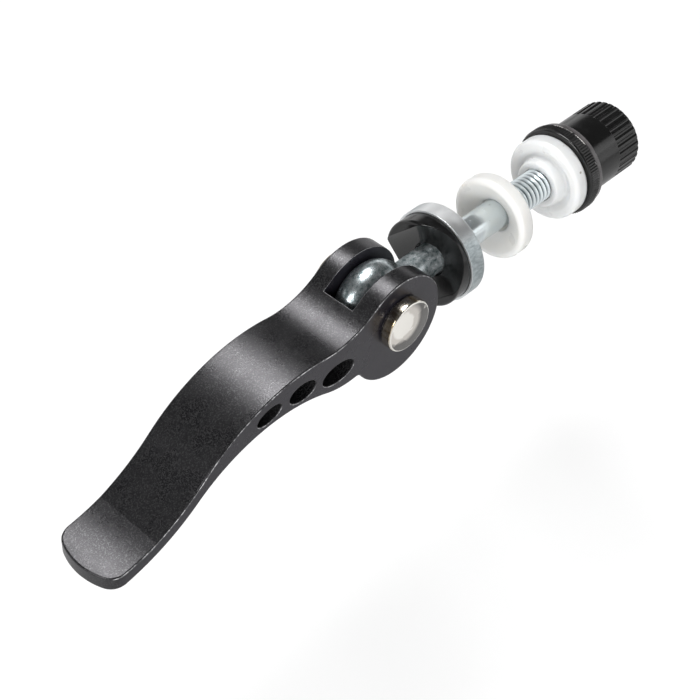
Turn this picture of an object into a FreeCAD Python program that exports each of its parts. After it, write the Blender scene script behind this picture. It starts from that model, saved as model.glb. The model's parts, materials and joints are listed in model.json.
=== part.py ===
# Quick release seatpost clamp: cam lever on its pin, eye bolt, saddle in its cup, two washers, thumb nut.
# The rod lies along X with the nut at +X, the pivot pin along Y, and Z is up.
# The origin is on the rod's axis, near the middle of the space where the seat lug is clamped.
import FreeCAD, Part
import os
from math import atan2, radians
import Sketcher

Vector = FreeCAD.Vector

doc = FreeCAD.newDocument("SeatpostClamp")
sheet = doc.addObject("Spreadsheet::Sheet", "Sizes")

# Driving sizes in millimetres. Lengths along the rod are counted from the lever's pivot.
sizes = [
    ("grip_to_pivot", 38.0),
    ("running_gap", 0.05),
    ("touch_gap", 0.04),
    # eye bolt
    ("shank_radius", 2.72),
    ("thread_radius", 3.0),
    ("thread_start", 34.6),
    ("rod_length", 60.8),
    ("rod_chamfer", 0.7),
    ("eye_radius", 7.2),
    ("eye_half", 2.9),
    ("eye_crown", 3.3),
    ("neck_start", 4.3),
    ("neck_end", 8.8),
    ("neck_sweep", 8.0),
    # pivot pin
    ("pin_radius", 4.25),
    ("head_radius", 4.65),
    ("head_flare", 0.4),
    ("pin_proud", 2.55),
    ("pin_dome", 30.0),
    ("pin_round", 0.35),
    # lever, side view: arcs that run into one another, counted back from the pivot
    ("lever_half", 6.4),
    ("cam_radius", 9.68),
    ("cam_offset", 1.89),
    ("valley_radius", 14.44),
    ("valley_back", 14.77),
    ("hump_radius", 30.12),
    ("hump_back", 21.29),
    ("curl_radius", 34.2),
    ("curl_back", 64.75),
    ("crease_back", 51.6),
    ("pad_radius", 30.0),
    ("crease_turn", 3.3),
    ("under_inset", 2.94),
    ("under_back", 62.4),
    ("arch_inset", 2.84),
    ("arch_back", 26.54),
    ("bulge_radius", 13.84),
    ("bulge_back", 10.99),
    ("bulge_rise", 7.61),
    ("notch_radius", 1.5),
    # lever, plan view
    ("lever_reach", 61.4),
    ("tip_radius", 12.0),
    ("tip_corner", 3.0),
    ("lever_round", 0.3),
    ("fork_depth", 7.6),
    ("fork_gap", 0.25),
    # oval windows in the lever's side
    ("near_window_back", 13.79),
    ("near_window_drop", 2.27),
    ("near_window_long", 3.45),
    ("near_window_high", 1.88),
    ("near_window_lean", 177.9),
    ("mid_window_back", 21.61),
    ("mid_window_drop", 0.94),
    ("mid_window_long", 2.82),
    ("mid_window_high", 1.66),
    ("mid_window_lean", 177.2),
    ("far_window_back", 28.69),
    ("far_window_drop", 0.9),
    ("far_window_long", 2.55),
    ("far_window_high", 1.3),
    ("far_window_lean", 10.9),
    ("window_round", 0.2),
    # cup and saddle
    ("cup_front", 15.55),
    ("cup_depth", 3.31),
    ("cup_radius", 8.38),
    ("cup_wall", 0.4),
    ("cup_floor", 1.2),
    ("cup_hole", 3.15),
    ("cup_round", 0.5),
    ("saddle_front", 12.4),
    ("hollow_depth", 2.35),
    ("cam_gap", 0.1),
    ("saddle_turn", 45.0),
    ("saddle_round", 0.6),
    # nylon washers
    ("lever_washer_dish", 29.65),
    ("nut_grip", 13.04),
    ("washer_radius", 7.62),
    ("washer_rim", 3.2),
    ("washer_round", 0.8),
    ("washer_hole", 3.1),
    ("dish_lip", 1.02),
    ("dish_depth", 1.75),
    ("boss_inset", 3.32),
    ("foot_inset", 2.82),
    ("boss_height", 1.65),
    ("boss_round", 0.38),
    ("rim_face", 1.62),
    ("moat_depth", 0.7),
    ("moat_round", 0.8),
    ("foot_blend", 0.45),
    # thumb nut
    ("nut_length", 16.0),
    ("nut_radius", 6.75),
    ("nut_round", 0.45),
    ("bore_lead", 0.5),
    ("flange_radius", 8.15),
    ("flange_band", 2.3),
    ("flange_step", 0.2),
    ("flange_length", 3.6),
    ("flange_round", 0.3),
    ("foot_round", 0.5),
    ("flute_length", 5.8),
    ("flute_radius", 0.45),
    ("flute_lift", 0.15),
    ("flute_count", 32),
]
for row, (alias, value) in enumerate(sizes, start=1):
    sheet.set("A%d" % row, alias)
    sheet.set("B%d" % row, str(value))
    sheet.setAlias("B%d" % row, alias)
doc.recompute()


def number(text):
    # value of a sum of named sizes such as "cup_radius - cup_wall"
    total = 0.0
    sign = 1
    for word in text.split():
        if word in ("+", "-"):
            sign = 1 if word == "+" else -1
        else:
            total += sign * float(sheet.get(word))
    return total


def formula(text):
    # the same sum as an expression on the sheet
    return " ".join(word if word in ("+", "-") else "Sizes." + word for word in text.split())


def new_body(label):
    body = doc.addObject("PartDesign::Body", label)
    body.Label = label
    return body


def new_sketch(body, name, plane):
    sketch = body.newObject("Sketcher::SketchObject", body.Name + "_" + name)
    support = [item for item in body.Origin.OriginFeatures if item.Role == plane]
    sketch.AttachmentSupport = (support[0], [""])
    sketch.MapMode = "FlatFace"
    return sketch


def fix(sketch, kind, where, text):
    # one dimension of a sketch, bound to the sheet
    index = sketch.addConstraint(Sketcher.Constraint(kind, *where, number(text)))
    sketch.setExpression("Constraints[%d]" % index, formula(text))


def fix_point(sketch, geo, end, across, up):
    # a point's distances from the sketch's origin; "back" or "down" before a sum turns its direction round
    for kind, axis, text in (("DistanceX", -2, across), ("DistanceY", -1, up)):
        if text == "zero":
            sketch.addConstraint(Sketcher.Constraint("PointOnObject", geo, end, axis))
        elif text.split()[0] in ("back", "down"):
            fix(sketch, kind, (geo, end, -1, 1), text.split(" ", 1)[1])
        else:
            fix(sketch, kind, (-1, 1, geo, end), text)


def coordinate(text):
    if text == "zero":
        return 0.0
    if text.split()[0] in ("back", "down"):
        return -number(text.split(" ", 1)[1])
    return number(text)


def place(across, up):
    return Vector(coordinate(across), coordinate(up), 0)


def join(sketch, geo, end, following, start):
    sketch.addConstraint(Sketcher.Constraint("Coincident", geo, end, following, start))


def chain(sketch, points):
    # straight lines from each point to the next, points given as pairs of sums
    places = [place(*point) for point in points]
    lines = []
    for here, there in zip(places, places[1:]):
        lines.append(sketch.addGeometry(Part.LineSegment(here, there)))
    for line, following in zip(lines, lines[1:]):
        join(sketch, line, 2, following, 1)
    for line, point in zip(lines, points):
        fix_point(sketch, line, 1, *point)
    return lines


def outline(sketch, points):
    # closed outline of straight lines
    lines = chain(sketch, points + points[:1])
    join(sketch, lines[-1], 2, lines[0], 1)


def arc(sketch, centre, first, last):
    # arc about a centre, anticlockwise from one point to another
    round_line = Part.Circle(centre, Vector(0, 0, 1), (first - centre).Length)
    angles = [atan2(point.y - centre.y, point.x - centre.x) for point in (first, last)]
    return sketch.addGeometry(Part.ArcOfCircle(round_line, *angles))


def circle(sketch, across, up, radius):
    centre = Vector(coordinate(across), coordinate(up), 0)
    geo = sketch.addGeometry(Part.Circle(centre, Vector(0, 0, 1), number(radius)))
    fix(sketch, "Radius", (geo,), radius)
    fix_point(sketch, geo, 3, across, up)


def revolve(body, sketch, axis):
    turned = body.newObject("PartDesign::Revolution", sketch.Name + "_turned")
    turned.Profile = sketch
    turned.ReferenceAxis = (sketch, [axis])
    turned.Angle = 360
    doc.recompute()
    return turned


def cut_through(body, sketch):
    cut = body.newObject("PartDesign::Pocket", sketch.Name + "_cut")
    cut.Profile = sketch
    cut.Type = "ThroughAll"
    cut.SideType = "Symmetric"
    doc.recompute()
    return cut


def fillet(body, base, edges, radius):
    rounded = body.newObject("PartDesign::Fillet", body.Name + "_" + radius)
    rounded.Base = (base, edges)
    rounded.setExpression("Radius", formula(radius))
    doc.recompute()
    return rounded


def rims(feature, places, axis=0):
    # names of the round edges about an axis, each found by its radius and its place along the axis
    names = []
    for index, edge in enumerate(feature.Shape.Edges, start=1):
        if edge.Degenerated or edge.Curve.TypeId != "Part::GeomCircle":
            continue
        for along, radius in places:
            same_place = along == "any" or abs(edge.Curve.Center[axis] - coordinate(along)) < 1e-4
            if same_place and abs(edge.Curve.Radius - number(radius)) < 1e-4:
                names.append("Edge%d" % index)
    return names


def stand(body, along, drop="zero", rotation=FreeCAD.Rotation()):
    # place on the rod, counted from the pivot, and how far a loose piece hangs below the rod's axis
    body.Placement = FreeCAD.Placement(Vector(0, 0, 0), rotation)
    start = "" if along == "zero" else formula(along)
    body.setExpression("Placement.Base.x", start + " - Sizes.grip_to_pivot")
    if drop != "zero":
        body.setExpression("Placement.Base.z", "-(" + formula(drop) + ")")


def make_eye_bolt():
    body = new_body("eye_bolt")
    rod = new_sketch(body, "rod", "XZ_Plane")
    lines = chain(rod, [
        ("zero", "zero"),
        ("rod_length", "zero"),
        ("rod_length", "thread_radius - rod_chamfer"),
        ("rod_length - rod_chamfer", "thread_radius"),
        ("thread_start + thread_radius - shank_radius", "thread_radius"),
        ("thread_start", "shank_radius"),
        ("neck_end", "shank_radius"),
    ])
    # the neck sweeps out into the eye
    neck_end = place("neck_end", "shank_radius")
    middle = place("neck_end", "shank_radius + neck_sweep")
    inset = number("neck_end - neck_start")
    drop = (number("neck_sweep") ** 2 - inset ** 2) ** 0.5
    neck_top = middle - Vector(inset, drop, 0)
    neck = arc(rod, middle, neck_top, neck_end)
    inner = rod.addGeometry(Part.LineSegment(neck_top, Vector(0, neck_top.y, 0)))
    close = rod.addGeometry(Part.LineSegment(Vector(0, neck_top.y, 0), Vector(0, 0, 0)))
    rod.addConstraint(Sketcher.Constraint("Tangent", lines[-1], 2, neck, 2))
    fix(rod, "Radius", (neck,), "neck_sweep")
    fix(rod, "DistanceX", (-1, 1, neck, 2), "neck_end")
    fix(rod, "DistanceX", (-1, 1, neck, 1), "neck_start")
    rod.addConstraint(Sketcher.Constraint("Horizontal", lines[-1]))
    join(rod, neck, 1, inner, 1)
    rod.addConstraint(Sketcher.Constraint("Horizontal", inner))
    join(rod, inner, 2, close, 1)
    join(rod, close, 2, lines[0], 1)
    rod.addConstraint(Sketcher.Constraint("Vertical", close))
    revolve(body, rod, "H_Axis")

    flats = new_sketch(body, "flats", "XY_Plane")
    end = "eye_radius + eye_half"
    outline(flats, [("zero", "eye_half"), (end, "eye_half"), (end, "eye_radius"), ("zero", "eye_radius")])
    other_side = [("zero", "down eye_half"), ("zero", "down eye_radius"), (end, "down eye_radius")]
    outline(flats, other_side + [(end, "down eye_half")])
    cut_through(body, flats)

    # the eye is a ring with a crowned rim
    eye = new_sketch(body, "eye", "XY_Plane")
    middle = place("eye_radius - eye_crown", "zero")
    reach = middle.x + (number("eye_crown") ** 2 - number("eye_half") ** 2) ** 0.5
    low = Vector(reach, -number("eye_half"), 0)
    high = Vector(reach, number("eye_half"), 0)
    rim = arc(eye, middle, low, high)
    axis = chain(eye, [("zero", "eye_half"), ("zero", "down eye_half")])[0]
    bottom = eye.addGeometry(Part.LineSegment(Vector(0, low.y, 0), low))
    top = eye.addGeometry(Part.LineSegment(high, Vector(0, high.y, 0)))
    fix_point(eye, axis, 2, "zero", "down eye_half")
    join(eye, axis, 2, bottom, 1)
    join(eye, bottom, 2, rim, 1)
    join(eye, rim, 2, top, 1)
    join(eye, top, 2, axis, 1)
    for line in (bottom, top):
        eye.addConstraint(Sketcher.Constraint("Horizontal", line))
    fix(eye, "Radius", (rim,), "eye_crown")
    fix(eye, "DistanceX", (-1, 1, rim, 3), "eye_radius - eye_crown")
    revolve(body, eye, "V_Axis")

    bore = new_sketch(body, "bore", "XZ_Plane")
    circle(bore, "zero", "zero", "pin_radius + running_gap")
    cut_through(body, bore)
    stand(body, "zero")


def make_pivot_pin():
    # straight barrel with a flared head and a low dome at each end
    body = new_body("pivot_pin")
    half = new_sketch(body, "half", "XY_Plane")
    end = "lever_half + pin_proud"
    shoulder = "lever_half + head_flare"
    barrel = chain(half, [
        ("head_radius", "down " + shoulder),
        ("pin_radius", "down lever_half"),
        ("pin_radius", "lever_half"),
        ("head_radius", shoulder),
    ])
    fix_point(half, barrel[-1], 2, "head_radius", shoulder)
    dome = number("pin_dome")
    edge = number(end) - dome + (dome ** 2 - number("head_radius") ** 2) ** 0.5
    high_rim = Vector(number("head_radius"), edge, 0)
    low_rim = Vector(number("head_radius"), -edge, 0)
    high = half.addGeometry(Part.LineSegment(place("head_radius", shoulder), high_rim))
    low = half.addGeometry(Part.LineSegment(low_rim, place("head_radius", "down " + shoulder)))
    axis = chain(half, [("zero", end), ("zero", "down " + end)])[0]
    fix_point(half, axis, 2, "zero", "down " + end)
    high_dome = arc(half, Vector(0, number(end) - dome, 0), high_rim, place("zero", end))
    low_dome = arc(half, Vector(0, dome - number(end), 0), place("zero", "down " + end), low_rim)
    join(half, barrel[-1], 2, high, 1)
    join(half, high, 2, high_dome, 1)
    join(half, high_dome, 2, axis, 1)
    join(half, axis, 2, low_dome, 1)
    join(half, low_dome, 2, low, 1)
    join(half, low, 2, barrel[0], 1)
    for wall in (high, low):
        half.addConstraint(Sketcher.Constraint("Vertical", wall))
    for cap in (high_dome, low_dome):
        fix(half, "Radius", (cap,), "pin_dome")
        half.addConstraint(Sketcher.Constraint("PointOnObject", cap, 3, -2))
    turned = revolve(body, half, "V_Axis")
    fillet(body, turned, rims(turned, [("any", "head_radius")]), "pin_round")
    stand(body, "zero")


def beside(centre, radius, back, next_radius, way):
    # centre of the circle that touches another from outside, a given distance back, above or below it
    across = -number(back) - centre.x
    apart = number(radius) + number(next_radius)
    return centre + Vector(across, way * (apart ** 2 - across ** 2) ** 0.5, 0)


def touch(centre, radius, next_centre):
    return centre + (next_centre - centre).normalize() * number(radius)


def make_lever():
    body = new_body("lever")
    side = new_sketch(body, "side", "XZ_Plane")
    arch_radius = "hump_radius - arch_inset"
    under_radius = "curl_radius - under_inset"
    # upper line: cam, valley behind the fork, hump, curl and the paddle's pad
    cam_middle = place("zero", "down cam_offset")
    valley_middle = beside(cam_middle, "cam_radius", "valley_back", "valley_radius", 1)
    hump_middle = beside(valley_middle, "valley_radius", "hump_back", "hump_radius", -1)
    curl_middle = beside(hump_middle, "hump_radius", "curl_back", "curl_radius", 1)
    # lower line: notch behind the cam, bulge with the windows, arch and the paddle's underside
    bulge_middle = place("back bulge_back", "bulge_rise")
    arch_middle = beside(bulge_middle, "bulge_radius", "arch_back", arch_radius, -1)
    under_middle = beside(arch_middle, arch_radius, "under_back", under_radius, 1)
    span = cam_middle - bulge_middle
    to_bulge = number("bulge_radius + notch_radius")
    to_cam = number("cam_radius + notch_radius")
    along = (span.Length ** 2 + to_bulge ** 2 - to_cam ** 2) / (2 * span.Length)
    aside = (to_bulge ** 2 - along ** 2) ** 0.5
    forward = Vector(span).normalize()
    notch_middle = bulge_middle + forward * along + Vector(forward.y, -forward.x, 0) * aside

    tip_x = -number("lever_reach + tip_corner")
    crease_x = -number("crease_back")

    def under_side(middle, radius, across):
        return Vector(across, middle.y - (number(radius) ** 2 - (across - middle.x) ** 2) ** 0.5, 0)

    # the pad lies a little flatter than the curl that it follows
    crease = under_side(curl_middle, "curl_radius", crease_x)
    flatter = FreeCAD.Rotation(Vector(0, 0, 1), -number("crease_turn"))
    pad_middle = crease + flatter.multVec((curl_middle - crease).normalize() * number("pad_radius"))
    tip_top = under_side(pad_middle, "pad_radius", tip_x)
    tip_foot = under_side(under_middle, under_radius, tip_x)
    cam_to_valley = touch(cam_middle, "cam_radius", valley_middle)
    valley_to_hump = touch(valley_middle, "valley_radius", hump_middle)
    hump_to_curl = touch(hump_middle, "hump_radius", curl_middle)
    arch_to_under = touch(arch_middle, arch_radius, under_middle)
    bulge_to_arch = touch(bulge_middle, "bulge_radius", arch_middle)
    bulge_to_notch = touch(bulge_middle, "bulge_radius", notch_middle)
    cam_to_notch = touch(cam_middle, "cam_radius", notch_middle)

    cam = arc(side, cam_middle, cam_to_notch, cam_to_valley)
    valley = arc(side, valley_middle, valley_to_hump, cam_to_valley)
    hump = arc(side, hump_middle, valley_to_hump, hump_to_curl)
    curl = arc(side, curl_middle, crease, hump_to_curl)
    pad = arc(side, pad_middle, tip_top, crease)
    under_curl = arc(side, under_middle, tip_foot, arch_to_under)
    arch = arc(side, arch_middle, bulge_to_arch, arch_to_under)
    bulge = arc(side, bulge_middle, bulge_to_arch, bulge_to_notch)
    notch = arc(side, notch_middle, cam_to_notch, bulge_to_notch)
    tip = side.addGeometry(Part.LineSegment(tip_top, tip_foot))
    side.addConstraint(Sketcher.Constraint("PointOnObject", cam, 3, -2))
    fix(side, "DistanceY", (cam, 3, -1, 1), "cam_offset")
    for geo, radius, back in (
        (valley, "valley_radius", "valley_back"),
        (hump, "hump_radius", "hump_back"),
        (curl, "curl_radius", "curl_back"),
        (under_curl, under_radius, "under_back"),
        (arch, arch_radius, "arch_back"),
        (bulge, "bulge_radius", "bulge_back"),
    ):
        fix(side, "Radius", (geo,), radius)
        fix(side, "DistanceX", (geo, 3, -1, 1), back)
    fix(side, "Radius", (cam,), "cam_radius")
    fix(side, "Radius", (notch,), "notch_radius")
    fix(side, "DistanceY", (-1, 1, bulge, 3), "bulge_rise")
    for geo, end, following, start in (
        (cam, 2, valley, 2),
        (valley, 1, hump, 1),
        (hump, 2, curl, 2),
        (under_curl, 2, arch, 2),
        (arch, 1, bulge, 1),
        (bulge, 2, notch, 2),
        (notch, 1, cam, 1),
    ):
        side.addConstraint(Sketcher.Constraint("Tangent", geo, end, following, start))
    join(side, curl, 1, pad, 2)
    fix(side, "DistanceX", (curl, 1, -1, 1), "crease_back")
    fix(side, "Radius", (pad,), "pad_radius")
    turn = -radians(number("crease_turn"))
    index = side.addConstraint(Sketcher.Constraint("AngleViaPoint", curl, pad, curl, 1, turn))
    side.setExpression("Constraints[%d]" % index, "-1 deg * Sizes.crease_turn")
    join(side, pad, 1, tip, 1)
    join(side, tip, 2, under_curl, 1)
    side.addConstraint(Sketcher.Constraint("Vertical", tip))
    fix(side, "DistanceX", (tip, 1, -1, 1), "lever_reach + tip_corner")
    blank = body.newObject("PartDesign::Pad", "lever_blank")
    blank.Profile = side
    blank.SideType = "Symmetric"
    blank.setExpression("Length", "2 * Sizes.lever_half")
    doc.recompute()

    # the paddle's end is cut round in plan
    plan = new_sketch(body, "plan", "XY_Plane")
    wide = "lever_half + lever_round"
    middle = place("back lever_reach - tip_radius", "zero")
    inset = (number("tip_radius") ** 2 - number(wide) ** 2) ** 0.5
    far_end = middle + Vector(-inset, number(wide), 0)
    near_end = middle + Vector(-inset, -number(wide), 0)
    edge = arc(plan, middle, far_end, near_end)
    back = "back lever_reach + tip_radius"
    behind = chain(plan, [(back, "down " + wide), (back, wide)])[0]
    fix_point(plan, behind, 2, back, wide)
    near = plan.addGeometry(Part.LineSegment(near_end, place(back, "down " + wide)))
    far = plan.addGeometry(Part.LineSegment(place(back, wide), far_end))
    join(plan, edge, 2, near, 1)
    join(plan, near, 2, behind, 1)
    join(plan, behind, 2, far, 1)
    join(plan, far, 2, edge, 1)
    for line in (near, far):
        plan.addConstraint(Sketcher.Constraint("Horizontal", line))
    plan.addConstraint(Sketcher.Constraint("PointOnObject", edge, 3, -1))
    fix(plan, "Radius", (edge,), "tip_radius")
    fix(plan, "DistanceX", (edge, 3, -1, 1), "lever_reach - tip_radius")
    paddle = cut_through(body, plan)
    corner_edges = []
    for index, line in enumerate(paddle.Shape.Edges, start=1):
        ends = [vertex.Point for vertex in line.Vertexes]
        upright = len(ends) == 2 and abs(ends[0].x - ends[1].x) < 1e-4 and abs(ends[0].y - ends[1].y) < 1e-4
        if upright and ends[0].x < -number("lever_reach - tip_radius"):
            corner_edges.append("Edge%d" % index)
    rounded = fillet(body, paddle, corner_edges, "tip_corner")

    # every outer edge of the two side faces and of the paddle's end is eased
    names = []
    shape = rounded.Shape
    for index, line in enumerate(shape.Edges, start=1):
        faces = shape.ancestorsOfType(line, Part.Face)
        middle = line.valueAt((line.FirstParameter + line.LastParameter) / 2)
        normals = [face.normalAt(*face.Surface.parameter(middle)) for face in faces]
        sharp = len(normals) == 2 and abs(normals[0].dot(normals[1])) < 0.8
        if sharp:
            names.append("Edge%d" % index)
    fillet(body, rounded, names, "lever_round")

    fork = new_sketch(body, "fork", "XY_Plane")
    half = "eye_half + fork_gap"
    front = "cam_radius + cam_offset"
    outline(fork, [
        ("back fork_depth", "down " + half),
        (front, "down " + half),
        (front, half),
        ("back fork_depth", half),
    ])
    cut_through(body, fork)

    holes = new_sketch(body, "holes", "XZ_Plane")
    circle(holes, "zero", "zero", "pin_radius")
    for name in ("near", "mid", "far"):
        window = name + "_window_"
        middle = Vector(-number(window + "back"), -number(window + "drop"), 0)
        turn = FreeCAD.Rotation(Vector(0, 0, 1), number(window + "lean"))
        long_end = middle + turn.multVec(Vector(number(window + "long"), 0, 0))
        high_end = middle + turn.multVec(Vector(0, number(window + "high"), 0))
        oval = holes.addGeometry(Part.Ellipse(long_end, high_end, middle))
        holes.exposeInternalGeometry(oval)
        fix_point(holes, oval, 3, "back " + window + "back", "down " + window + "drop")
        for axis, size in ((oval + 1, "long"), (oval + 2, "high")):
            index = holes.addConstraint(Sketcher.Constraint("Distance", axis, 2 * number(window + size)))
            holes.setExpression("Constraints[%d]" % index, "2 * Sizes." + window + size)
        lean = radians(number(window + "lean"))
        index = holes.addConstraint(Sketcher.Constraint("Angle", oval + 1, lean))
        holes.setExpression("Constraints[%d]" % index, "1 deg * Sizes." + window + "lean")
    pierced = cut_through(body, holes)
    window_rims = []
    for index, line in enumerate(pierced.Shape.Edges, start=1):
        on_side = abs(abs(line.CenterOfMass.y) - number("lever_half")) < 1e-4
        if on_side and line.isClosed() and line.Curve.TypeId != "Part::GeomCircle":
            window_rims.append("Edge%d" % index)
    fillet(body, pierced, window_rims, "window_round")
    stand(body, "zero")


def make_cup():
    body = new_body("cam_cup")
    half = new_sketch(body, "half", "XZ_Plane")
    outline(half, [
        ("zero", "cup_radius - cup_wall"),
        ("zero", "cup_radius"),
        ("cup_depth", "cup_radius"),
        ("cup_depth", "cup_hole"),
        ("cup_depth - cup_floor", "cup_hole"),
        ("cup_depth - cup_floor", "cup_radius - cup_wall"),
    ])
    turned = revolve(body, half, "H_Axis")
    fillet(body, turned, rims(turned, [("cup_depth", "cup_radius")]), "cup_round")
    stand(body, "cup_front")


def make_saddle():
    body = new_body("cam_saddle")
    half = new_sketch(body, "half", "XZ_Plane")
    rim = "cup_radius - cup_wall - running_gap"
    back = "cup_front - saddle_front + cup_depth - cup_floor - running_gap"
    outline(half, [("zero", "cup_hole"), ("zero", rim), (back, rim), (back, "cup_hole")])
    turned = revolve(body, half, "H_Axis")
    fillet(body, turned, rims(turned, [("zero", rim)]), "saddle_round")
    hollow = new_sketch(body, "hollow", "XZ_Plane")
    circle(hollow, "back cam_radius + cam_gap - hollow_depth", "zero", "cam_radius + cam_gap")
    cut_through(body, hollow)
    turn = FreeCAD.Rotation(Vector(1, 0, 0), -number("saddle_turn"))
    stand(body, "saddle_front", rotation=turn)


def make_washer(label, dish, rod_radius, rotation):
    # one washer shape: dished on the side of its origin, with a boss on the other side
    body = new_body(label)
    half = new_sketch(body, "half", "XZ_Plane")
    tip = "washer_rim + boss_height"
    boss_edge = "washer_radius - boss_inset"
    boss_foot = "washer_radius - foot_inset"
    moat_edge = "washer_radius - rim_face"
    moat_floor = "washer_rim - moat_depth"
    outline(half, [
        ("zero", "washer_radius - dish_lip"),
        ("zero", "washer_radius"),
        ("washer_rim", "washer_radius"),
        ("washer_rim", moat_edge),
        (moat_floor, boss_foot),
        (tip, boss_edge),
        (tip, "washer_hole"),
        ("dish_depth", "washer_hole"),
    ])
    turned = revolve(body, half, "H_Axis")
    rim = fillet(body, turned, rims(turned, [("any", "washer_radius")]), "washer_round")
    boss = fillet(body, rim, rims(rim, [(tip, boss_edge)]), "boss_round")
    foot = fillet(body, boss, rims(boss, [(moat_floor, boss_foot)]), "foot_blend")
    fillet(body, foot, rims(foot, [("washer_rim", moat_edge)]), "moat_round")
    stand(body, dish, "washer_hole - touch_gap - " + rod_radius, rotation)


def make_nut():
    body = new_body("adjusting_nut")
    half = new_sketch(body, "half", "XZ_Plane")
    bore = "thread_radius + running_gap"
    shoulder = "flange_radius - flange_step"
    outline(half, [
        ("zero", bore + " + bore_lead"),
        ("zero", "flange_radius"),
        ("flange_band", "flange_radius"),
        ("flange_band", shoulder),
        ("flange_length", shoulder),
        ("flange_length", "nut_radius"),
        ("nut_length", "nut_radius"),
        ("nut_length", bore + " + bore_lead"),
        ("nut_length - bore_lead", bore),
        ("bore_lead", bore),
    ])
    turned = revolve(body, half, "H_Axis")
    foot = fillet(body, turned, rims(turned, [("flange_length", "nut_radius")]), "foot_round")
    edges = rims(foot, [("flange_length", shoulder), ("zero", "flange_radius")])
    flange = fillet(body, foot, edges, "flange_round")
    crown = fillet(body, flange, rims(flange, [("nut_length", "nut_radius")]), "nut_round")

    flute = new_sketch(body, "flute", "YZ_Plane")
    circle(flute, "zero", "nut_radius + flute_lift", "flute_radius")
    flute.setExpression("AttachmentOffset.Base.z", "Sizes.nut_length")
    groove = body.newObject("PartDesign::Pocket", "flute_cut")
    groove.Profile = flute
    groove.setExpression("Length", "Sizes.flute_length")
    doc.recompute()
    flutes = body.newObject("PartDesign::PolarPattern", "flutes")
    flutes.Originals = [groove]
    flutes.Axis = (flute, ["N_Axis"])
    flutes.Angle = 360
    flutes.setExpression("Occurrences", "Sizes.flute_count")
    body.Tip = flutes
    doc.recompute()
    stand(body, "rod_length - nut_grip + touch_gap")


make_eye_bolt()
make_pivot_pin()
make_lever()
make_cup()
make_saddle()
make_washer("lever_washer", "lever_washer_dish", "shank_radius", FreeCAD.Rotation())
make_washer("nut_washer", "rod_length - nut_grip", "thread_radius", FreeCAD.Rotation(Vector(0, 0, 1), 180))
make_nut()
doc.recompute()

for item in doc.Objects:
    if "Invalid" in item.State or "Error" in item.State:
        raise RuntimeError("failed: " + item.Name)
os.makedirs("parts", exist_ok=True)
for body in doc.Objects:
    if body.TypeId != "PartDesign::Body":
        continue
    if body.Shape.isNull() or not body.Shape.isValid() or len(body.Shape.Solids) != 1:
        raise RuntimeError("bad shape: " + body.Label)
    print(body.Label, "volume %.1f mm3" % body.Shape.Volume, "box", body.Shape.BoundBox)
    body.Shape.exportStep("parts/" + body.Label + ".step")
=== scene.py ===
import json
import math
import bpy
from mathutils import Matrix, Vector

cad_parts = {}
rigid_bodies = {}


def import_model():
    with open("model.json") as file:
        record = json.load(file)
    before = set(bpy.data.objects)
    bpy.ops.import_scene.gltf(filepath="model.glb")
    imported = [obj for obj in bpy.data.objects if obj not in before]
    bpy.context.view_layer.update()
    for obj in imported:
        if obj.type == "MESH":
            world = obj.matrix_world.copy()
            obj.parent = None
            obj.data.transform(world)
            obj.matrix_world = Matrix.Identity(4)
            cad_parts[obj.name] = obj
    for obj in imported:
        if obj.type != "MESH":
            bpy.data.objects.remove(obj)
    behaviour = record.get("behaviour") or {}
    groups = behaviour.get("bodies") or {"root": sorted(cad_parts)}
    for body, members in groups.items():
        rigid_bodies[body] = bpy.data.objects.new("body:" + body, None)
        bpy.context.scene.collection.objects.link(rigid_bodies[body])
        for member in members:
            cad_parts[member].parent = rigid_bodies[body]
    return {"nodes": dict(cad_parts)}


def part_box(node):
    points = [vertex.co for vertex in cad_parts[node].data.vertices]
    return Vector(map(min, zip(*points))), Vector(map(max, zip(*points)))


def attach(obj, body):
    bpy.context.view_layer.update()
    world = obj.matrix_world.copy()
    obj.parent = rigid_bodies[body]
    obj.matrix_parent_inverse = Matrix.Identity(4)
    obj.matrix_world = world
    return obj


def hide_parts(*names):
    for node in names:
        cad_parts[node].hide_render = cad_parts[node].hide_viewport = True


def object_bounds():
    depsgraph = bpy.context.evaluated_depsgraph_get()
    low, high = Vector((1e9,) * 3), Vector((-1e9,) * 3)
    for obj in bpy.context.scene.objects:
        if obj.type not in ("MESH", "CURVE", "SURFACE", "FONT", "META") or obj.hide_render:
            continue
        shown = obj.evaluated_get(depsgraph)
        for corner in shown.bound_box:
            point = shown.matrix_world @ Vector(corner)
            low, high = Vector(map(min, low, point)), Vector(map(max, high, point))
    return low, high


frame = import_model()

mm = 0.001
weldGap = 0.0005 * mm       # corners nearer than this become one
sameSpot = 0.01 * mm        # how exactly a corner is found by its place
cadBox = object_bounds()
print("clamp loaded:", ", ".join(sorted(frame["nodes"])))


def clearSelection():
    if bpy.context.object and bpy.context.object.mode != "OBJECT":
        bpy.ops.object.mode_set(mode="OBJECT")
    bpy.ops.object.select_all(action="DESELECT")


def makeActive(piece):
    clearSelection()
    piece.select_set(True)
    bpy.context.view_layer.objects.active = piece


def applyPlace(piece):
    makeActive(piece)
    bpy.ops.object.transform_apply(location=True, rotation=True, scale=True)


cloudDetail = 3.0           # of the soft clouds in most finishes
bevelSamples = 6
edgeBend = (0.86, 0.97)     # cosine of a bend that is an edge in full, and of one that is none


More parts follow.
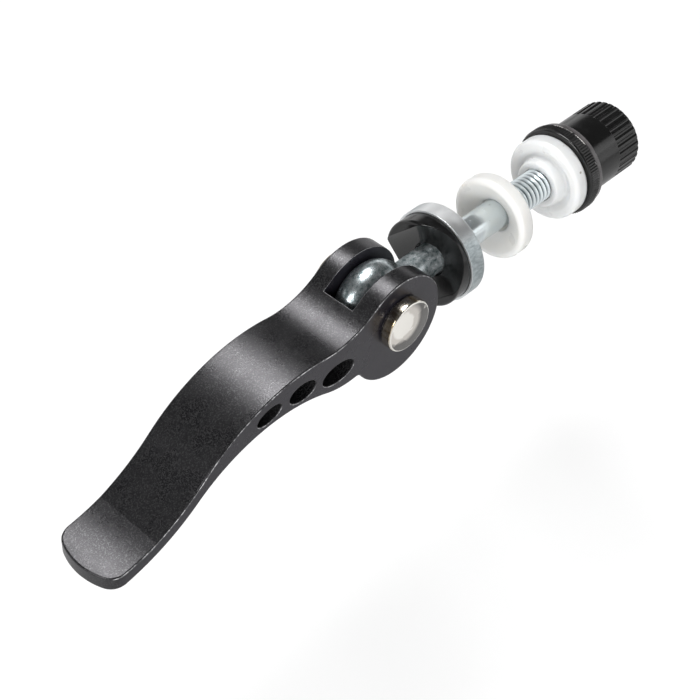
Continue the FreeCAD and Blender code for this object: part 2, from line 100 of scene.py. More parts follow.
# node helpers, one graph per finish
class Finish:
    def __init__(self, name):
        self.material = bpy.data.materials.new(name)
        self.material.use_nodes = True
        self.nodes = self.material.node_tree.nodes
        self.links = self.material.node_tree.links
        self.shader = self.nodes["Principled BSDF"]
        self.coords = self.nodes.new("ShaderNodeTexCoord")

    def set(self, **sockets):
        for socket, value in sockets.items():
            self.shader.inputs[socket.replace("_", " ")].default_value = value

    def link(self, source, target):
        self.links.new(source, target)

    def drive(self, source, socket):
        self.link(source, self.shader.inputs[socket])

    def noise(self, scale, detail=2.0, roughness=0.5, stretch=None):
        node = self.nodes.new("ShaderNodeTexNoise")
        node.inputs["Scale"].default_value = scale
        node.inputs["Detail"].default_value = detail
        node.inputs["Roughness"].default_value = roughness
        source = self.coords.outputs["Object"]
        if stretch:
            mapping = self.nodes.new("ShaderNodeMapping")
            mapping.inputs["Scale"].default_value = stretch
            self.link(source, mapping.inputs["Vector"])
            source = mapping.outputs["Vector"]
        self.link(source, node.inputs["Vector"])
        return node.outputs["Fac"]

    def ramp(self, source, low, high, lowColour, highColour):
        node = self.nodes.new("ShaderNodeValToRGB")
        node.color_ramp.elements[0].position = low
        node.color_ramp.elements[1].position = high
        node.color_ramp.elements[0].color = (*lowColour, 1)
        node.color_ramp.elements[1].color = (*highColour, 1)
        self.link(source, node.inputs["Fac"])
        return node.outputs["Color"]

    def spread(self, source, low, high, fromLow=0.3, fromHigh=0.7):
        node = self.nodes.new("ShaderNodeMapRange")
        node.inputs["From Min"].default_value = fromLow
        node.inputs["From Max"].default_value = fromHigh
        node.inputs["To Min"].default_value = low
        node.inputs["To Max"].default_value = high
        self.link(source, node.inputs["Value"])
        return node.outputs["Result"]

    def rise(self, source, start, end):
        return self.spread(source, 0.0, 1.0, start, end)

    def fall(self, source, start, end):
        return self.spread(source, 1.0, 0.0, start, end)

    def mix(self, factor, first, second):
        node = self.nodes.new("ShaderNodeMix")
        node.data_type = "RGBA"
        self.link(factor, node.inputs["Factor"])
        for socket, value in ((node.inputs["A"], first), (node.inputs["B"], second)):
            if isinstance(value, tuple):
                socket.default_value = (*value, 1)
            else:
                self.link(value, socket)
        return node.outputs["Result"]

    def math(self, operation, first, second):
        node = self.nodes.new("ShaderNodeMath")
        node.operation = operation
        for socket, value in zip(node.inputs, (first, second)):
            if isinstance(value, (int, float)):
                socket.default_value = value
            else:
                self.link(value, socket)
        return node.outputs["Value"]

    def bump(self, height, strength, distance, edgeRadius=None):
        node = self.nodes.new("ShaderNodeBump")
        node.inputs["Strength"].default_value = strength
        node.inputs["Distance"].default_value = distance
        self.link(height, node.inputs["Height"])
        if edgeRadius:
            self.link(self.eased(edgeRadius), node.inputs["Normal"])
        self.drive(node.outputs["Normal"], "Normal")

    # shading normal with sharp edges eased by a small radius
    def eased(self, radius):
        node = self.nodes.new("ShaderNodeBevel")
        node.samples = bevelSamples
        node.inputs["Radius"].default_value = radius
        return node.outputs["Normal"]

    # 1 along sharp edges, 0 elsewhere
    def edges(self, radius):
        normal = self.nodes.new("ShaderNodeNewGeometry").outputs["Normal"]
        node = self.nodes.new("ShaderNodeVectorMath")
        node.operation = "DOT_PRODUCT"
        self.link(normal, node.inputs[0])
        self.link(self.eased(radius), node.inputs[1])
        return self.fall(node.outputs["Value"], *edgeBend)

    # random value for each cell of a coarse pattern
    def cells(self, scale):
        node = self.nodes.new("ShaderNodeTexVoronoi")
        node.inputs["Scale"].default_value = scale
        self.link(self.coords.outputs["Object"], node.inputs["Vector"])
        split = self.nodes.new("ShaderNodeSeparateXYZ")
        self.link(node.outputs["Color"], split.inputs["Vector"])
        return split.outputs["X"]

    # place of a point along one axis of the piece
    def place(self, axis):
        split = self.nodes.new("ShaderNodeSeparateXYZ")
        self.link(self.coords.outputs["Object"], split.inputs["Vector"])
        return split.outputs[axis]

    # distance of a point from a centre, measured along the chosen axes only
    def distance(self, centre=(0, 0, 0), axes=(1, 1, 1)):
        source = self.coords.outputs["Object"]
        for operation, value in (("SUBTRACT", centre), ("MULTIPLY", axes)):
            node = self.nodes.new("ShaderNodeVectorMath")
            node.operation = operation
            node.inputs[1].default_value = value
            self.link(source, node.inputs[0])
            source = node.outputs["Vector"]
        node = self.nodes.new("ShaderNodeVectorMath")
        node.operation = "LENGTH"
        self.link(source, node.inputs[0])
        return node.outputs["Value"]

    # how squarely a face looks along one axis of the piece, to either side if asked
    def facing(self, axis, eitherSide=False):
        split = self.nodes.new("ShaderNodeSeparateXYZ")
        self.link(self.coords.outputs["Normal"], split.inputs["Vector"])
        return self.math("ABSOLUTE", split.outputs[axis], 0.0) if eitherSide else split.outputs[axis]


# black lever: satin coat with a fine bright grain, plainer on its flat sides, a painted highlight line on its
# upper roundings, and worn bright along its sharp edges
leverPaint = {
    "dark": (0.0045, 0.0045, 0.005),
    "flake": (0.095, 0.095, 0.097),
    "side": (0.0085, 0.0075, 0.0115),
    # colour of the painted highlight line, also used for the bright wear on the fork's edges
    "highlightAndWearColour": (0.50, 0.50, 0.51),
    "ior": 1.52,
    "glint": (0.975, 0.95, 1.0, 1),     # tint of its reflections
    "grainScale": 4300.0,
    "grainRoughness": 0.65,
    "flakeSpan": (0.5, 0.68),           # part of the grain that shows as flakes
    "sideFlakes": 0.25,                 # share of flakes and grain left on the flat sides
    "sideGrain": 0.35,
    "bump": (0.5, 0.03 * mm),
    "cloudScale": 260.0,
    "roughness": (0.25, 0.32),
    "sideSpan": (0.90, 0.985),          # how squarely a face must look sideways to be a flat side
    "highlightStart": (0.72, 0.82),           # the same for the painted highlight line on the rounding
    "highlightEnd": (0.97, 0.995),
    "highlightUp": (0.08, 0.2),               # and how far up it must look
    "highlightAndWearScale": 330.0,
    "highlightAndWearPatches": (0.12, 1.0, 0.36, 0.54),
    "highlightBreakScale": 2600.0,
    "highlightBreakDetail": 1.0,
    "highlightBreakPatches": (0.2, 1.0, 0.42, 0.6),
    "edgeWear": (0.45, 1.0),
    "edgeRadius": 0.12 * mm,
}


def makeLeverPaint():
    finish = Finish("leverPaint")
    finish.set(IOR=leverPaint["ior"], Specular_Tint=leverPaint["glint"])
    grain = finish.noise(leverPaint["grainScale"], roughness=leverPaint["grainRoughness"])
    cloud = finish.noise(leverPaint["cloudScale"], cloudDetail)
    across = finish.facing("Y", True)
    flat = finish.rise(across, *leverPaint["sideSpan"])
    flakes = finish.rise(grain, *leverPaint["flakeSpan"])
    flakes = finish.math("MULTIPLY", flakes, finish.spread(flat, 1.0, leverPaint["sideFlakes"], 0.0, 1.0))
    finish.drive(flakes, "Metallic")
    paint = finish.mix(flat, leverPaint["dark"], leverPaint["side"])
    paint = finish.mix(flakes, paint, leverPaint["flake"])
    # painted highlight line on the upper roundings, broken up by noise, and bright wear along the sharp edges
    # of the fork
    paintedHighlightLine = finish.rise(across, *leverPaint["highlightStart"])
    paintedHighlightLine = finish.math("MULTIPLY", paintedHighlightLine, finish.fall(across, *leverPaint["highlightEnd"]))
    paintedHighlightLine = finish.math("MULTIPLY", paintedHighlightLine, finish.rise(finish.facing("Z"), *leverPaint["highlightUp"]))
    patchesOfHighlightAndWear = finish.spread(finish.noise(leverPaint["highlightAndWearScale"]), *leverPaint["highlightAndWearPatches"])
    highlightBreaks = finish.noise(leverPaint["highlightBreakScale"], leverPaint["highlightBreakDetail"])
    highlightBreaks = finish.spread(highlightBreaks, *leverPaint["highlightBreakPatches"])
    paintedHighlightLine = finish.math("MULTIPLY", paintedHighlightLine, finish.math("MULTIPLY", patchesOfHighlightAndWear, highlightBreaks))
    worn = finish.spread(patchesOfHighlightAndWear, *leverPaint["edgeWear"])
    worn = finish.math("MULTIPLY", finish.edges(leverPaint["edgeRadius"]), worn)
    paintedHighlightAndWear = finish.math("MAXIMUM", paintedHighlightLine, worn)
    finish.drive(finish.mix(paintedHighlightAndWear, paint, leverPaint["highlightAndWearColour"]), "Base Color")
    finish.drive(finish.spread(cloud, *leverPaint["roughness"]), "Roughness")
    calm = finish.spread(flat, 1.0, leverPaint["sideGrain"], 0.0, 1.0)
    finish.bump(finish.math("MULTIPLY", grain, calm), *leverPaint["bump"], leverPaint["edgeRadius"])
    return finish.material


# polished nickel pin: cream face with a painted reflection that falls off in painted grey facets and painted
# shade towards its far edge, dark golden side
pinNickel = {
    "base": (0.98, 0.955, 0.90),
    "paintedFacetGrey": (0.70, 0.665, 0.62),
    "shade": (0.15, 0.145, 0.14),
    "side": (0.42, 0.33, 0.20),
    "paintedReflectionCentre": (-39.6 * mm, 0, 1.3 * mm),    # middle of the painted cream reflection
    "paintedFacetStart": (2.4 * mm, 2.8 * mm),     # distances from that middle
    "paintedShadeStart": (3.6 * mm, 4.6 * mm),
    "paintedFacetScale": 230.0,
    "paintedFacetSpread": 2.2 * mm,
    "faceMetal": 0.6,
    "rimSpan": (0.35, 0.75),                # how squarely a face looks sideways, from barrel to end
    "metalSpan": (0.8, 0.97),
    "faceSpan": (0.965, 0.985),
    "streakScale": 700.0,
    "streakRoughness": 0.6,
    "streakStretch": (1.0, 0.2, 1.0),
    "streakSpan": (0.4, 0.7),
    "roughness": (0.10, 0.22),
    "bump": (0.06, 0.02 * mm),
}


def makePinNickel():
    finish = Finish("pinNickel")
    # painted reflection: the face is cream near a centre, then painted grey and dark further from it, in
    # jittered facets
    away = finish.distance(pinNickel["paintedReflectionCentre"], (1, 0, 1))
    cells = finish.cells(pinNickel["paintedFacetScale"])
    jitter = finish.math("MULTIPLY", finish.math("SUBTRACT", cells, 0.5), pinNickel["paintedFacetSpread"])
    away = finish.math("ADD", away, jitter)
    faceWithPaintedReflection = finish.mix(finish.rise(away, *pinNickel["paintedFacetStart"]), pinNickel["base"], pinNickel["paintedFacetGrey"])
    faceWithPaintedReflection = finish.mix(finish.rise(away, *pinNickel["paintedShadeStart"]), faceWithPaintedReflection, pinNickel["shade"])
    streaks = finish.noise(
        pinNickel["streakScale"], cloudDetail, pinNickel["streakRoughness"], pinNickel["streakStretch"],
    )
    side = finish.ramp(streaks, *pinNickel["streakSpan"], pinNickel["side"], pinNickel["base"])
    across = finish.facing("Y", True)
    rim = finish.mix(finish.fall(across, *pinNickel["rimSpan"]), pinNickel["base"], side)
    finish.drive(finish.spread(across, 1.0, pinNickel["faceMetal"], *pinNickel["metalSpan"]), "Metallic")
    finish.drive(finish.mix(finish.rise(across, *pinNickel["faceSpan"]), rim, faceWithPaintedReflection), "Base Color")
    finish.drive(finish.spread(streaks, *pinNickel["roughness"]), "Roughness")
    finish.bump(finish.noise(pinNickel["streakScale"]), *pinNickel["bump"])
    return finish.material


# eye bolt with its rolled thread cut as a real helix
boltThread = {
    "start": -3.4 * mm,      # where the plain shank ends
    "lap": 0.05 * mm,
    "pitch": 1.0 * mm,
    "crest": 2.98 * mm,
    "root": 2.4 * mm,
    "crestFlat": 0.15 * mm,
    "overrun": 1.99,         # turns past each end before it is trimmed
    "barSpare": 0.3 * mm,
    "barSides": 96,
    "leadIn": 0.28 * mm,
    "endChamfer": 0.7 * mm,
    "steps": 48,
    "ribSmooth": 30,         # degrees up to which two faces are shaded as one
    "boltSmooth": 32,
}

# bright zinc plating of the eye bolt, bluish and mottled, more so towards the eye
boltZinc = {
    "base": (0.75, 0.81, 0.83),
    "stain": (0.17, 0.22, 0.23),
    "metal": (0.97, 0.62, 0.88),            # at the eye, behind the saddle and along the shank
    "neckSpan": (-33.0 * mm, -30.0 * mm),   # along the rod, where one changes to the next
    "shankSpan": (-23.0 * mm, -20.0 * mm),
    "threadMatt": 0.35,
    "threadFade": 0.3 * mm,
    # painted highlight on the thread's crests and painted shade in its roots
    "crest": (0.90, 0.97, 1.0),
    "root": (0.025, 0.05, 0.06),
    "rootSpare": 0.1 * mm,                  # how far from root and crest the two colours begin
    "crestSpare": 0.12 * mm,
    "mottleScale": 1250.0,
    "mottleDetail": 6.0,
    "mottleRoughness": 0.7,
    "stainSpan": (0.42, 0.62),
    "calm": 0.2,                            # mottling taken off along the shank
    "calmSpan": (-21.0 * mm, -15.0 * mm),
    "roughness": (0.22, 0.36),
    "fineScale": 3000.0,
    "bump": (0.25, 0.03 * mm),
}


def makeBoltZinc():
    finish = Finish("boltZinc")
    along = finish.place("X")
    eyeMetal, neckMetal, shankMetal = boltZinc["metal"]
    metal = finish.math(
        "ADD", finish.spread(along, eyeMetal, neckMetal, *boltZinc["neckSpan"]),
        finish.spread(along, 0.0, shankMetal - neckMetal, *boltZinc["shankSpan"]),
    )
    threaded = finish.rise(along, boltThread["start"], boltThread["start"] + boltZinc["threadFade"])
    metal = finish.math("SUBTRACT", metal, finish.spread(threaded, 0.0, boltZinc["threadMatt"]))
    finish.drive(metal, "Metallic")
    mottle = finish.noise(boltZinc["mottleScale"], boltZinc["mottleDetail"], boltZinc["mottleRoughness"])
    calm = finish.spread(along, 0.0, boltZinc["calm"], *boltZinc["calmSpan"])
    mottle = finish.math("SUBTRACT", mottle, calm)
    plate = finish.ramp(mottle, *boltZinc["stainSpan"], boltZinc["base"], boltZinc["stain"])
    # the thread's grooves are painted darker than its crests: painted shade in the grooves, painted highlight
    # on the crests
    paintedGrooveShade = finish.fall(
        finish.distance(axes=(0, 1, 1)),
        boltThread["root"] + boltZinc["rootSpare"], boltThread["crest"] - boltZinc["crestSpare"],
    )
    paintedRibLightAndShade = finish.mix(paintedGrooveShade, boltZinc["crest"], boltZinc["root"])
    finish.drive(finish.mix(threaded, plate, paintedRibLightAndShade), "Base Color")
    finish.drive(finish.spread(mottle, *boltZinc["roughness"]), "Roughness")
    finish.bump(finish.noise(boltZinc["fineScale"]), *boltZinc["bump"])
    return finish.material


# satin zinc of the cup with fine streaks along the rod, painted light on its up-facing crown and a painted
# highlight on its lip
cupZinc = {
    "base": (0.52, 0.57, 0.585),
    "streak": (0.30, 0.345, 0.36),
    "crown": (0.93, 0.945, 0.95),
    "paintedLipHighlight": (0.90, 0.93, 0.94),
    "metal": 0.9,
    "streakScale": 2400.0,
    "streakDetail": 4.0,
    "streakRoughness": 0.6,
    "streakStretch": (0.4, 1.0, 1.0),
    "streakSpan": (0.38, 0.68),
    "cloudScale": 300.0,
    "cloudShare": (0.75, 1.2),
    "crownSpan": (0.68, 0.92),      # how far up a face looks
    "paintedLipHighlightSpan": (-0.8, -0.3),        # how squarely a face looks to the lever
    "roughness": (0.30, 0.42),
    "bump": (0.2, 0.03 * mm),
    "edgeRadius": 0.15 * mm,
}


def makeCupZinc():
    finish = Finish("cupZinc")
    finish.set(Metallic=cupZinc["metal"])
    streaks = finish.noise(
        cupZinc["streakScale"], cupZinc["streakDetail"], cupZinc["streakRoughness"], cupZinc["streakStretch"],
    )
    cloud = finish.noise(cupZinc["cloudScale"], cloudDetail)
    blend = finish.math("MULTIPLY", streaks, finish.spread(cloud, *cupZinc["cloudShare"]))
    plate = finish.ramp(blend, *cupZinc["streakSpan"], cupZinc["base"], cupZinc["streak"])
    # painted light: faces looking up are painted pale, and the lip and sharp edges get a painted highlight
    plate = finish.mix(finish.rise(finish.facing("Z"), *cupZinc["crownSpan"]), plate, cupZinc["crown"])
    paintedLipHighlight = finish.fall(finish.facing("X"), *cupZinc["paintedLipHighlightSpan"])
    paintedLipHighlight = finish.math("MAXIMUM", paintedLipHighlight, finish.edges(cupZinc["edgeRadius"]))
    finish.drive(finish.mix(paintedLipHighlight, plate, cupZinc["paintedLipHighlight"]), "Base Color")
    finish.drive(finish.spread(cloud, *cupZinc["roughness"]), "Roughness")
    finish.bump(streaks, *cupZinc["bump"], cupZinc["edgeRadius"])
    return finish.material


# moulded black plastic of the saddle, smooth enough to mirror the floor in its cut face
saddlePlastic = {
    "base": (0.005, 0.005, 0.005),
    "rub": (0.012, 0.012, 0.0125),
    "rubSpan": (0.5, 0.8),
    "cloudScale": 520.0,
    "roughness": (0.12, 0.19),
    "fineScale": 1500.0,
    "bump": (0.05, 0.03 * mm),
    "edgeRadius": 0.2 * mm,
}


def makeSaddlePlastic():
    finish = Finish("saddlePlastic")
    cloud = finish.noise(saddlePlastic["cloudScale"], cloudDetail)
    plastic = finish.ramp(cloud, *saddlePlastic["rubSpan"], saddlePlastic["base"], saddlePlastic["rub"])
    finish.drive(plastic, "Base Color")
    finish.drive(finish.spread(cloud, *saddlePlastic["roughness"]), "Roughness")
    finish.bump(finish.noise(saddlePlastic["fineScale"]), *saddlePlastic["bump"], saddlePlastic["edgeRadius"])
    return finish.material


# milky nylon of the washers
washerNylon = {
    "warm": (0.745, 0.742, 0.726),
    "cool": (0.695, 0.703, 0.703),
    "shade": 0.96,
    "shadeSpan": (0.35, 0.7),
    "speck": (0.35, 0.33, 0.30),
    "speckScale": 900.0,
    "speckDetail": 0.0,
    "speckSpan": (0.83, 0.86),
    "cloudScale": 240.0,
    "roughness": (0.26, 0.38),
    "depth": 2.6 * mm,
    "scatter": (1.0, 0.96, 0.9),
    "fineScale": 1300.0,
    "bump": (0.05, 0.04 * mm),
}


def makeNylon(name, base):
    finish = Finish(name)
    cloud = finish.noise(washerNylon["cloudScale"], cloudDetail)
    shade = tuple(channel * washerNylon["shade"] for channel in base)
    milk = finish.ramp(cloud, *washerNylon["shadeSpan"], base, shade)
    specks = finish.noise(washerNylon["speckScale"], washerNylon["speckDetail"])
    specks = finish.rise(specks, *washerNylon["speckSpan"])
    finish.drive(finish.mix(specks, milk, washerNylon["speck"]), "Base Color")
    finish.drive(finish.spread(cloud, *washerNylon["roughness"]), "Roughness")
    finish.set(Subsurface_Weight=1.0, Subsurface_Scale=washerNylon["depth"])
    finish.set(Subsurface_Radius=washerNylon["scatter"])
    finish.bump(finish.noise(washerNylon["fineScale"]), *washerNylon["bump"])
    return finish.material


# glossy black thumb nut: the bead behind its knurl has a painted grey highlight, and the knurl's rear edge
# has a painted highlight in bright dashes
nutBlack = {
    "base": (0.0045, 0.0045, 0.0045),
    "scuff": (0.012, 0.012, 0.0125),
    "scuffSpan": (0.5, 0.8),
    "ior": 1.58,
    "paintedBeadHighlight": (0.13, 0.122, 0.125),
    "paintedBeadSpan": (2.75 * mm, 3.5 * mm),      # along the rod from the nut's front face
    "paintedBeadFade": 0.3 * mm,
    "paintedBeadShare": (0.5, 1.0),
    "paintedDashHighlight": (0.85, 0.82, 0.80),
    "paintedDashPlace": 2.25 * mm,
    "paintedDashWidth": 0.28 * mm,
    "paintedDashScale": 420.0,
    "paintedDashSpan": (0.5, 0.58),
    "cloudScale": 420.0,
    "cloudDetail": 4.0,
    "roughness": (0.14, 0.24),
    "fineScale": 1800.0,
    "bump": (0.08, 0.03 * mm),
    "edgeRadius": 0.1 * mm,
}


def makeNutBlack():
    finish = Finish("nutBlack")
    finish.set(IOR=nutBlack["ior"])
    cloud = finish.noise(nutBlack["cloudScale"], nutBlack["cloudDetail"])
    gloss = finish.ramp(cloud, *nutBlack["scuffSpan"], nutBlack["base"], nutBlack["scuff"])
    along = finish.math("SUBTRACT", finish.place("X"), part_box("adjusting_nut")[0].x)
    first, last = nutBlack["paintedBeadSpan"]
    # painted highlight: a grey arc on the bead behind the knurl
    paintedBeadHighlight = finish.rise(along, first - nutBlack["paintedBeadFade"], first)
    paintedBeadHighlight = finish.math("MULTIPLY", paintedBeadHighlight, finish.fall(along, last, last + nutBlack["paintedBeadFade"]))
    paintedBeadHighlight = finish.math("MULTIPLY", paintedBeadHighlight, finish.spread(cloud, *nutBlack["paintedBeadShare"]))
    gloss = finish.mix(paintedBeadHighlight, gloss, nutBlack["paintedBeadHighlight"])
    # painted highlight: bright dashes along the knurl's rear edge
    gap = finish.math("ABSOLUTE", finish.math("SUBTRACT", along, nutBlack["paintedDashPlace"]), 0.0)
    paintedDashes = finish.rise(finish.noise(nutBlack["paintedDashScale"]), *nutBlack["paintedDashSpan"])
    paintedDashes = finish.math("MULTIPLY", paintedDashes, finish.fall(gap, 0.0, nutBlack["paintedDashWidth"]))
    finish.drive(finish.mix(paintedDashes, gloss, nutBlack["paintedDashHighlight"]), "Base Color")
    finish.drive(finish.spread(cloud, *nutBlack["roughness"]), "Roughness")
    finish.bump(finish.noise(nutBlack["fineScale"]), *nutBlack["bump"], nutBlack["edgeRadius"])
    return finish.material


def dressNodes():
    finishes = {
        "lever": makeLeverPaint(),
        "pivot_pin": makePinNickel(),
        "eye_bolt": makeBoltZinc(),
        "cam_cup": makeCupZinc(),
        "cam_saddle": makeSaddlePlastic(),
        "lever_washer": makeNylon("warmNylon", washerNylon["warm"]),
        "nut_washer": makeNylon("coolNylon", washerNylon["cool"]),
        "adjusting_nut": makeNutBlack(),
    }
    for node, material in finishes.items():
        frame["nodes"][node].data.materials.clear()
        frame["nodes"][node].data.materials.append(material)
    return finishes


finishes = dressNodes()
print("finishes on", len(finishes), "pieces")


def editAll(piece):
    makeActive(piece)
    bpy.ops.object.mode_set(mode="EDIT")
    bpy.ops.mesh.select_mode(type="VERT")
    bpy.ops.mesh.select_all(action="SELECT")


# selects vertices by a test of their place, for the next edit operator
def pickVertices(piece, wanted):
    editAll(piece)
    bpy.ops.mesh.select_all(action="DESELECT")
    bpy.ops.object.mode_set(mode="OBJECT")
    for vertex in piece.data.vertices:
        vertex.select = wanted(vertex.co)
    bpy.ops.object.mode_set(mode="EDIT")


def trimAcross(piece, along, keepBefore):
    editAll(piece)
    bpy.ops.mesh.bisect(
        plane_co=(along, 0, 0), plane_no=(1, 0, 0), use_fill=True,
        clear_outer=keepBefore, clear_inner=not keepBefore,
    )
    bpy.ops.object.mode_set(mode="OBJECT")


def combine(piece, other, operation):
    makeActive(piece)
    cutter = piece.modifiers.new(operation.lower(), "BOOLEAN")
    cutter.operation = operation
    cutter.solver = "EXACT"
    cutter.object = other
    bpy.ops.object.modifier_apply(modifier=cutter.name)
    makeActive(other)
    bpy.ops.object.delete()


def facesOut(piece, smoothAngle):
    editAll(piece)
    bpy.ops.mesh.remove_doubles(threshold=weldGap)
    bpy.ops.mesh.select_all(action="SELECT")
    bpy.ops.mesh.normals_make_consistent(inside=False)
    bpy.ops.object.mode_set(mode="OBJECT")
    makeActive(piece)
    bpy.ops.object.shade_smooth_by_angle(angle=math.radians(smoothAngle))


# ribs swept from half a hexagon that is drawn out to the thread's profile
def makeThreadBlank(start, end):
    pitch = boltThread["pitch"]
    half = pitch / 2
    sixth = math.pi / 6
    clearSelection()
    bpy.ops.mesh.primitive_circle_add(vertices=6, radius=half, rotation=(math.pi / 2, sixth, 0))
    blank = bpy.context.object
    blank.name = "threadBlank"
    applyPlace(blank)
    pickVertices(blank, lambda point: point.z < -half / 4)
    bpy.ops.mesh.delete(type="VERT")
    pickVertices(blank, lambda point: point.z > half / 4)
    bpy.ops.transform.resize(value=(boltThread["crestFlat"] / half, 1, 1), center_override=(0, 0, 0))
    depth = boltThread["crest"] - boltThread["root"]
    editAll(blank)
    profileHigh = half * math.cos(sixth)
    bpy.ops.transform.resize(value=(1, 1, depth / profileHigh), center_override=(0, 0, 0))
    bpy.ops.transform.translate(value=(start - boltThread["overrun"] * pitch, 0, boltThread["root"]))
    bpy.ops.object.mode_set(mode="OBJECT")
    helix = blank.modifiers.new("helix", "SCREW")
    helix.axis = "X"
    helix.screw_offset = pitch
    helix.iterations = math.ceil((end - start) / pitch + 2 * boltThread["overrun"])
    helix.steps = boltThread["steps"]
    helix.render_steps = boltThread["steps"]
    bpy.ops.object.modifier_apply(modifier="helix")
    facesOut(blank, boltThread["ribSmooth"])
    trimAcross(blank, start, False)
    trimAcross(blank, end, True)
    facesOut(blank, boltThread["ribSmooth"])
    return blank


# bar with chamfered ends that the thread is cut from
def makeThreadBar(start, end):
    clearSelection()
    bpy.ops.mesh.primitive_cylinder_add(
        vertices=boltThread["barSides"], depth=end - start,
        radius=boltThread["crest"] + boltThread["barSpare"],
        location=((start + end) / 2, 0, 0), rotation=(0, math.pi / 2, 0),
    )
    bar = bpy.context.object
    applyPlace(bar)
    for along, cut in ((start, boltThread["leadIn"]), (end, boltThread["endChamfer"])):
        pickVertices(bar, lambda point: abs(point.x - along) < sameSpot)
        bpy.ops.mesh.bevel(offset=boltThread["barSpare"] + cut, segments=1, affect="EDGES")
        bpy.ops.object.mode_set(mode="OBJECT")
    return bar


def makeThreadedBolt():
    makeActive(frame["nodes"]["eye_bolt"])
    bpy.ops.object.duplicate()
    bolt = bpy.context.object
    bolt.name = "threadedBolt"
    bpy.ops.object.parent_clear(type="CLEAR")
    editAll(bolt)
    bpy.ops.mesh.remove_doubles(threshold=weldGap)
    bpy.ops.object.mode_set(mode="OBJECT")
    bpy.ops.mesh.customdata_custom_splitnormals_clear()
    trimAcross(bolt, boltThread["start"], True)
    start = boltThread["start"] - boltThread["lap"]
    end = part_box("eye_bolt")[1].x
    blank = makeThreadBlank(start, end)
    combine(blank, makeThreadBar(start, end), "INTERSECT")
    combine(bolt, blank, "UNION")
    facesOut(bolt, boltThread["boltSmooth"])
    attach(bolt, "rod")
    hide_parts("eye_bolt")
    return bolt


# fine straight knurl round the nut's flange
flangeKnurl = {
    "ridges": 104,
    "crest": 8.28 * mm,
    "valley": 8.165 * mm,
    "inner": 7.7 * mm,
    "from": 0.3 * mm,       # along the rod from the nut's front face
    "to": 2.28 * mm,
    "chamfer": 0.12 * mm,
    "smooth": 25,           # degrees
}


def makeKnurl():
    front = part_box("adjusting_nut")[0].x
    first = front + flangeKnurl["from"] + flangeKnurl["chamfer"]
    last = front + flangeKnurl["to"] - flangeKnurl["chamfer"]
    count = 2 * flangeKnurl["ridges"]
    clearSelection()
    bpy.ops.mesh.primitive_cylinder_add(
        vertices=count, radius=flangeKnurl["crest"], depth=last - first, end_fill_type="NOTHING",
        location=((first + last) / 2, 0, 0), rotation=(0, math.pi / 2, 0),
    )
    knurl = bpy.context.object
    knurl.name = "flangeKnurl"
    applyPlace(knurl)

    def inValley(point):
        return round(math.atan2(point.z, point.y) / math.tau * count) % 2 == 1

    pickVertices(knurl, inValley)
    shrink = flangeKnurl["valley"] / flangeKnurl["crest"]
    bpy.ops.transform.resize(value=(1, shrink, shrink), center_override=(0, 0, 0))
    lean = 1 - flangeKnurl["chamfer"] / flangeKnurl["crest"]
    tuck = flangeKnurl["inner"] / flangeKnurl["valley"]
    for along, way in ((first, -1), (last, 1)):
        pickVertices(knurl, lambda point: abs(point.x - along) < sameSpot)
        bpy.ops.mesh.extrude_edges_move()
        bpy.ops.transform.translate(value=(way * flangeKnurl["chamfer"], 0, 0))
        bpy.ops.transform.resize(value=(1, lean, lean), center_override=(0, 0, 0))
        bpy.ops.mesh.extrude_edges_move()
        bpy.ops.transform.resize(value=(1, tuck, tuck), center_override=(0, 0, 0))
        bpy.ops.object.mode_set(mode="OBJECT")
    inside = (flangeKnurl["inner"] + flangeKnurl["valley"]) / 2
    pickVertices(knurl, lambda point: math.hypot(point.y, point.z) < inside)
    bpy.ops.mesh.bridge_edge_loops()
    bpy.ops.object.mode_set(mode="OBJECT")
    facesOut(knurl, flangeKnurl["smooth"])
    knurl.data.materials.append(finishes["adjusting_nut"])
    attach(knurl, "nut")
    return knurl


for piece in (makeThreadedBolt(), makeKnurl()):
    print(piece.name, "has", len(piece.data.polygons), "faces")


# pale floor that reads as white and still takes a faint shadow, under a sky that is bright near the horizon
studio = {
    "floorSize": 3.0,
    "floorDrop": 50.0 * mm,     # leaves room for the lever to swing down
    "floorColour": 0.44,
    "floorRoughness": 0.9,
    "floorSeen": (0.55, 1.0),   # added for the camera, under the clamp and far from it
    "floorFar": (0.3, 0.9),     # metres from the origin to those two
    "floorMirrored": 0.14,      # added in gloss and glass
    "horizon": 0.95,
    "zenith": 0.08,
    "horizonTop": 0.14,         # heights of the sky's fade, as the sine of the angle
    "zenithStart": 0.42,
}


def makeFloor():
    clearSelection()
    level = cadBox[0].z - studio["floorDrop"]
    bpy.ops.mesh.primitive_plane_add(size=studio["floorSize"], location=(0, 0, level))
    floor = bpy.context.object
    floor.name = "studioFloor"
    applyPlace(floor)
    finish = Finish("floorWhite")
    finish.set(Base_Color=(*[studio["floorColour"]] * 3, 1), Roughness=studio["floorRoughness"])
    finish.set(Emission_Color=(1, 1, 1, 1))
    path = finish.nodes.new("ShaderNodeLightPath")
    white = finish.spread(finish.distance(), *studio["floorSeen"], *studio["floorFar"])
    seen = finish.math("MULTIPLY", path.outputs["Is Camera Ray"], white)
    mirrored = finish.math("MAXIMUM", path.outputs["Is Glossy Ray"], path.outputs["Is Transmission Ray"])
    mirrored = finish.math("MULTIPLY", mirrored, studio["floorMirrored"])
    finish.drive(finish.math("ADD", seen, mirrored), "Emission Strength")
    floor.data.materials.append(finish.material)


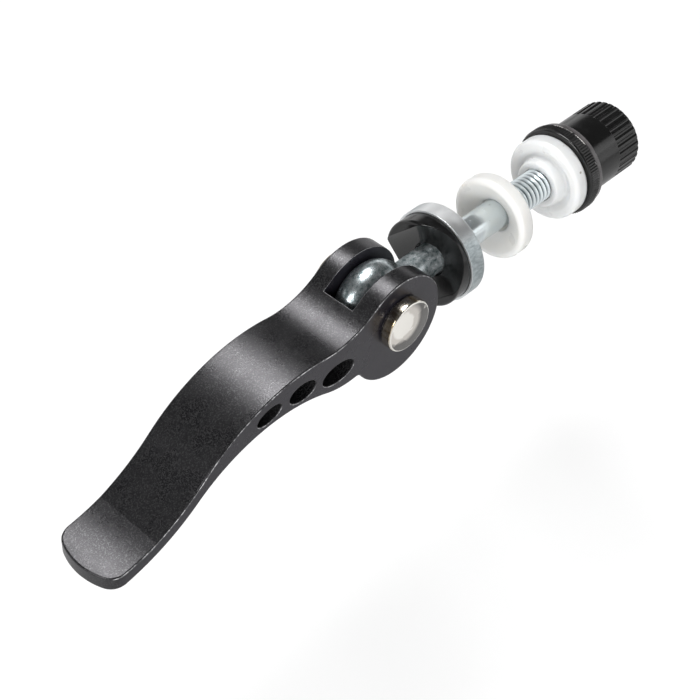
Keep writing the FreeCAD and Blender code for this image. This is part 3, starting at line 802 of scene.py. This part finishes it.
def makeWorld():
    world = bpy.data.worlds.new("studioSky")
    world.use_nodes = True
    bpy.context.scene.world = world
    nodes = world.node_tree.nodes
    links = world.node_tree.links
    background = nodes["Background"]
    background.inputs["Color"].default_value = (1, 1, 1, 1)
    direction = nodes.new("ShaderNodeTexCoord")
    split = nodes.new("ShaderNodeSeparateXYZ")
    links.new(direction.outputs["Generated"], split.inputs["Vector"])
    fade = nodes.new("ShaderNodeMapRange")
    fade.interpolation_type = "SMOOTHSTEP"
    fade.inputs["From Min"].default_value = studio["horizonTop"]
    fade.inputs["From Max"].default_value = studio["zenithStart"]
    fade.inputs["To Min"].default_value = studio["horizon"]
    fade.inputs["To Max"].default_value = studio["zenith"]
    links.new(split.outputs["Z"], fade.inputs["Value"])
    path = nodes.new("ShaderNodeLightPath")
    level = nodes.new("ShaderNodeMath")
    level.operation = "MAXIMUM"
    links.new(path.outputs["Is Camera Ray"], level.inputs[0])
    links.new(fade.outputs["Result"], level.inputs[1])
    links.new(level.outputs["Value"], background.inputs["Strength"])


softboxes = [
    # name, place, aims at, width, height, watts, seen in gloss
    ("keyBox", (0.10, 0.32, 0.93), (-0.05, 0, 0), 0.365, 0.60, 7.9, True),
    ("endFill", (-0.93, 0.03, 0.46), (-0.03, 0, 0), 0.30, 0.30, 3.0, True),
    ("sideCard", (0.34, -0.80, 0.45), (-0.03, 0, 0), 1.10, 0.32, 1.25, True),
    ("frontFill", (-0.80, -0.58, 0.22), (-0.02, 0, 0), 0.90, 0.50, 9.0, False),
]


def makeSoftboxes():
    for name, place, aim, width, height, watts, glossy in softboxes:
        lamp = bpy.data.lights.new(name, "AREA")
        lamp.shape = "RECTANGLE"
        lamp.size = width
        lamp.size_y = height
        lamp.energy = watts
        holder = bpy.data.objects.new(name, lamp)
        holder.location = place
        holder.visible_glossy = glossy
        holder.rotation_euler = (Vector(aim) - Vector(place)).to_track_quat("-Z", "Y").to_euler()
        bpy.context.scene.collection.objects.link(holder)


# photograph's view: place and directions of the camera in the clamp's own frame
view = {
    "place": (-182.4, -122.4, 172.9),       # millimetres
    "right": (0.6869, -0.7255, 0.0418),
    "up": (0.4864, 0.5018, 0.7153),
    "lens": 82.29,
    "sensor": 36.0,
    "clip": (0.01, 20.0),
}


def makeCamera():
    camera = bpy.data.objects.new("camera", bpy.data.cameras.new("camera"))
    bpy.context.scene.collection.objects.link(camera)
    right = Vector(view["right"]).normalized()
    up = Vector(view["up"])
    up = (up - right * up.dot(right)).normalized()
    back = right.cross(up)
    turn = Matrix((right, up, back)).transposed().to_4x4()
    camera.matrix_world = Matrix.Translation(Vector(view["place"]) * mm) @ turn
    camera.data.sensor_width = view["sensor"]
    camera.data.lens = view["lens"]
    camera.data.clip_start, camera.data.clip_end = view["clip"]
    bpy.context.scene.camera = camera


makeFloor()
makeWorld()
makeSoftboxes()
makeCamera()
bpy.context.scene.view_settings.view_transform = "Standard"
print("studio ready")
